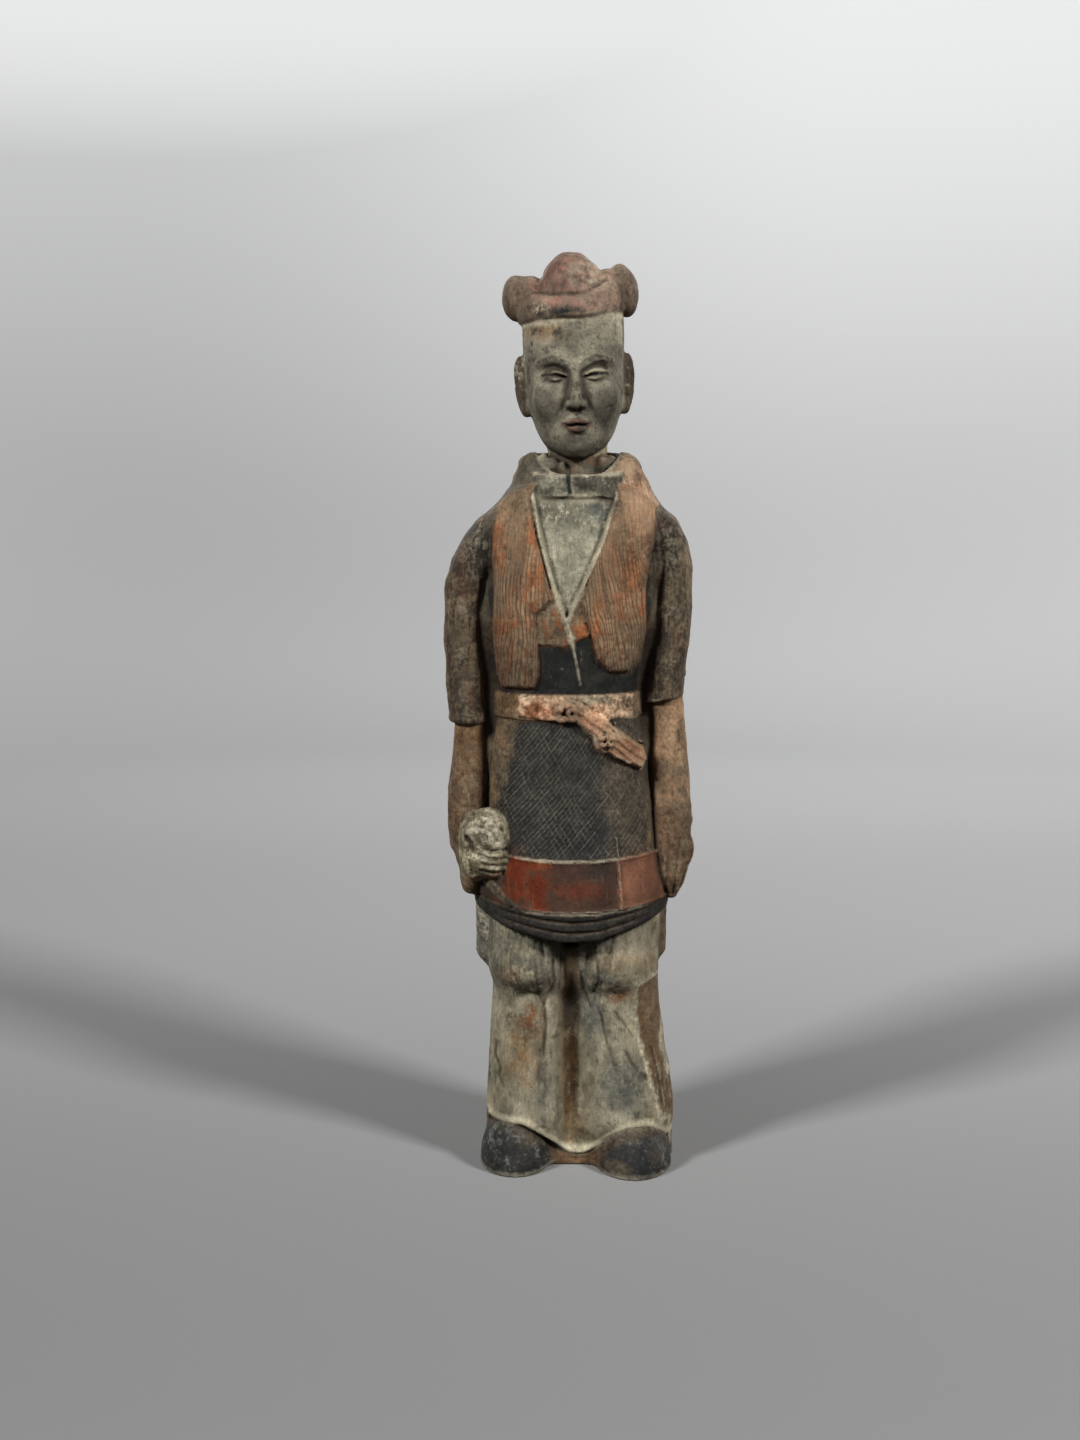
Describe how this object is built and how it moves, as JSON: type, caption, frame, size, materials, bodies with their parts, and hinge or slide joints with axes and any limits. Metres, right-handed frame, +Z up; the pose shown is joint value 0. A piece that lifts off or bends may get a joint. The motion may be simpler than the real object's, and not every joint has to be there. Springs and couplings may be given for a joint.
{
  "type": "terracotta tomb figure",
  "caption": "Standing attendant of moulded, painted clay in a soft cap, scarf, crosshatched skirt and tied trousers, one fist bored for a lost staff.",
  "frame": {"origin": "on the flat underside, in the middle of the clay web that joins the shoes", "axes": "+Z up, -Y the way the figure faces, +X to the figure's own left"},
  "size_m": [0.1239, 0.0824, 0.45],
  "materials": {
    "painted_clay": "matt fired clay with worn orange-red, grey-green and near-black paint over a pale ground, and earth in the hollows"
  },
  "bodies": {
    "root": {"figure": "painted_clay"}
  },
  "joints": []
}
